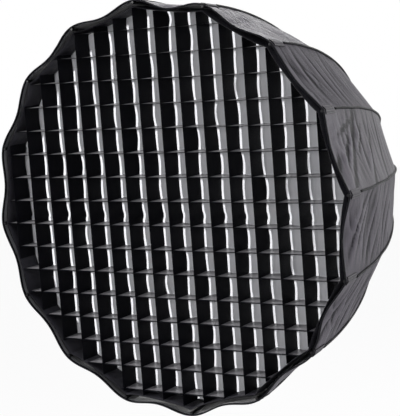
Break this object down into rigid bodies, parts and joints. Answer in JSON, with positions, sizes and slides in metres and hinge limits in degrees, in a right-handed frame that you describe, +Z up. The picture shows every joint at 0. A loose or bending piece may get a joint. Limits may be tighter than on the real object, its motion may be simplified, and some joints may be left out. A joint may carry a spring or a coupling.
{
  "type": "parabolic softbox",
  "caption": "Deep parabolic black cloth softbox for a studio lamp, with folding ribs on a bayonet hub, a white diffuser and an egg-crate grid.",
  "frame": {"origin": "centre of the bayonet ring's opening, in the plane of its seat", "axes": "+Y along the optical axis towards the lamp, the mouth faces -Y, +Z up"},
  "size_m": [0.9026, 0.8591, 0.9026],
  "materials": {
    "ring_metal": "satin anodised",
    "hub_metal": "black powder coat",
    "steel": "zinc plated",
    "rod_metal": "spring temper",
    "knuckle_plastic": "moulded nylon",
    "shell_cloth": "black woven nylon, silver inside",
    "diffuser_cloth": "white woven nylon",
    "band_cloth": "black hook tape",
    "grid_cloth": "black coated nylon"
  },
  "bodies": {
    "hub": {"mount_ring": "ring_metal", "hub_ring": "hub_metal", "ring_screws": "steel", "hinge_pins": "steel", "rear_skirt": "shell_cloth"},
    "rib_00": {"rod_00": "rod_metal", "knuckle_00": "knuckle_plastic", "panel_00": "shell_cloth"},
    "rib_01": {"rod_01": "rod_metal", "knuckle_01": "knuckle_plastic", "panel_01": "shell_cloth"},
    "rib_02": {"rod_02": "rod_metal", "knuckle_02": "knuckle_plastic", "panel_02": "shell_cloth"},
    "rib_03": {"rod_03": "rod_metal", "knuckle_03": "knuckle_plastic", "panel_03": "shell_cloth"},
    "rib_04": {"rod_04": "rod_metal", "knuckle_04": "knuckle_plastic", "panel_04": "shell_cloth"},
    "rib_05": {"rod_05": "rod_metal", "knuckle_05": "knuckle_plastic", "panel_05": "shell_cloth"},
    "rib_06": {"rod_06": "rod_metal", "knuckle_06": "knuckle_plastic", "panel_06": "shell_cloth"},
    "rib_07": {"rod_07": "rod_metal", "knuckle_07": "knuckle_plastic", "panel_07": "shell_cloth"},
    "rib_08": {"rod_08": "rod_metal", "knuckle_08": "knuckle_plastic", "panel_08": "shell_cloth"},
    "rib_09": {"rod_09": "rod_metal", "knuckle_09": "knuckle_plastic", "panel_09": "shell_cloth"},
    "rib_10": {"rod_10": "rod_metal", "knuckle_10": "knuckle_plastic", "panel_10": "shell_cloth"},
    "rib_11": {"rod_11": "rod_metal", "knuckle_11": "knuckle_plastic", "panel_11": "shell_cloth"},
    "rib_12": {"rod_12": "rod_metal", "knuckle_12": "knuckle_plastic", "panel_12": "shell_cloth"},
    "rib_13": {"rod_13": "rod_metal", "knuckle_13": "knuckle_plastic", "panel_13": "shell_cloth"},
    "rib_14": {"rod_14": "rod_metal", "knuckle_14": "knuckle_plastic", "panel_14": "shell_cloth"},
    "rib_15": {"rod_15": "rod_metal", "knuckle_15": "knuckle_plastic", "panel_15": "shell_cloth"},
    "diffuser": {"front_diffuser": "diffuser_cloth", "diffuser_band": "band_cloth"},
    "grid": {"grid_border": "grid_cloth", "grid_upright_strips": "grid_cloth", "grid_level_strips": "grid_cloth"}
  },
  "joints": [
    {"name": "rib_fold_00", "type": "hinge", "parent": "hub", "child": "rib_00", "pos_m": [0.092, -0.018, 0], "axis": [0, 0, -1], "range_deg": [0, 24], "deforming": ["panel_00", "panel_01", "panel_02", "panel_03", "panel_04", "panel_05", "panel_06", "panel_07", "panel_08", "panel_09", "panel_10", "panel_11", "panel_12", "panel_13", "panel_14", "panel_15", "front_diffuser", "diffuser_band", "grid_border", "grid_upright_strips", "grid_level_strips"]},
    {"name": "rib_fold_01", "type": "hinge", "parent": "hub", "child": "rib_01", "pos_m": [0.085, -0.018, 0.03521], "axis": [0.3827, 0, -0.9239], "range_deg": [0, 24]},
    {"name": "rib_fold_02", "type": "hinge", "parent": "hub", "child": "rib_02", "pos_m": [0.06505, -0.018, 0.06505], "axis": [0.7071, 0, -0.7071], "range_deg": [0, 24]},
    {"name": "rib_fold_03", "type": "hinge", "parent": "hub", "child": "rib_03", "pos_m": [0.03521, -0.018, 0.085], "axis": [0.9239, 0, -0.3827], "range_deg": [0, 24]},
    {"name": "rib_fold_04", "type": "hinge", "parent": "hub", "child": "rib_04", "pos_m": [0, -0.018, 0.092], "axis": [1, 0, 0], "range_deg": [0, 24]},
    {"name": "rib_fold_05", "type": "hinge", "parent": "hub", "child": "rib_05", "pos_m": [-0.03521, -0.018, 0.085], "axis": [0.9239, 0, 0.3827], "range_deg": [0, 24]},
    {"name": "rib_fold_06", "type": "hinge", "parent": "hub", "child": "rib_06", "pos_m": [-0.06505, -0.018, 0.06505], "axis": [0.7071, 0, 0.7071], "range_deg": [0, 24]},
    {"name": "rib_fold_07", "type": "hinge", "parent": "hub", "child": "rib_07", "pos_m": [-0.085, -0.018, 0.03521], "axis": [0.3827, 0, 0.9239], "range_deg": [0, 24]},
    {"name": "rib_fold_08", "type": "hinge", "parent": "hub", "child": "rib_08", "pos_m": [-0.092, -0.018, 0], "axis": [0, 0, 1], "range_deg": [0, 24]},
    {"name": "rib_fold_09", "type": "hinge", "parent": "hub", "child": "rib_09", "pos_m": [-0.085, -0.018, -0.03521], "axis": [-0.3827, 0, 0.9239], "range_deg": [0, 24]},
    {"name": "rib_fold_10", "type": "hinge", "parent": "hub", "child": "rib_10", "pos_m": [-0.06505, -0.018, -0.06505], "axis": [-0.7071, 0, 0.7071], "range_deg": [0, 24]},
    {"name": "rib_fold_11", "type": "hinge", "parent": "hub", "child": "rib_11", "pos_m": [-0.03521, -0.018, -0.085], "axis": [-0.9239, 0, 0.3827], "range_deg": [0, 24]},
    {"name": "rib_fold_12", "type": "hinge", "parent": "hub", "child": "rib_12", "pos_m": [0, -0.018, -0.092], "axis": [-1, 0, 0], "range_deg": [0, 24]},
    {"name": "rib_fold_13", "type": "hinge", "parent": "hub", "child": "rib_13", "pos_m": [0.03521, -0.018, -0.085], "axis": [-0.9239, 0, -0.3827], "range_deg": [0, 24]},
    {"name": "rib_fold_14", "type": "hinge", "parent": "hub", "child": "rib_14", "pos_m": [0.06505, -0.018, -0.06505], "axis": [-0.7071, 0, -0.7071], "range_deg": [0, 24]},
    {"name": "rib_fold_15", "type": "hinge", "parent": "hub", "child": "rib_15", "pos_m": [0.085, -0.018, -0.03521], "axis": [-0.3827, 0, -0.9239], "range_deg": [0, 24]},
    {"name": "diffuser_off", "type": "slide", "parent": "hub", "child": "diffuser", "axis": [0, -1, 0], "range_m": [0, 0.25]},
    {"name": "grid_off", "type": "slide", "parent": "diffuser", "child": "grid", "axis": [0, -1, 0], "range_m": [0, 0.25]}
  ],
  "couplings": [
    {"joint": "rib_fold_01", "follows": "rib_fold_00", "ratio": 1},
    {"joint": "rib_fold_02", "follows": "rib_fold_00", "ratio": 1},
    {"joint": "rib_fold_03", "follows": "rib_fold_00", "ratio": 1},
    {"joint": "rib_fold_04", "follows": "rib_fold_00", "ratio": 1},
    {"joint": "rib_fold_05", "follows": "rib_fold_00", "ratio": 1},
    {"joint": "rib_fold_06", "follows": "rib_fold_00", "ratio": 1},
    {"joint": "rib_fold_07", "follows": "rib_fold_00", "ratio": 1},
    {"joint": "rib_fold_08", "follows": "rib_fold_00", "ratio": 1},
    {"joint": "rib_fold_09", "follows": "rib_fold_00", "ratio": 1},
    {"joint": "rib_fold_10", "follows": "rib_fold_00", "ratio": 1},
    {"joint": "rib_fold_11", "follows": "rib_fold_00", "ratio": 1},
    {"joint": "rib_fold_12", "follows": "rib_fold_00", "ratio": 1},
    {"joint": "rib_fold_13", "follows": "rib_fold_00", "ratio": 1},
    {"joint": "rib_fold_14", "follows": "rib_fold_00", "ratio": 1},
    {"joint": "rib_fold_15", "follows": "rib_fold_00", "ratio": 1}
  ]
}
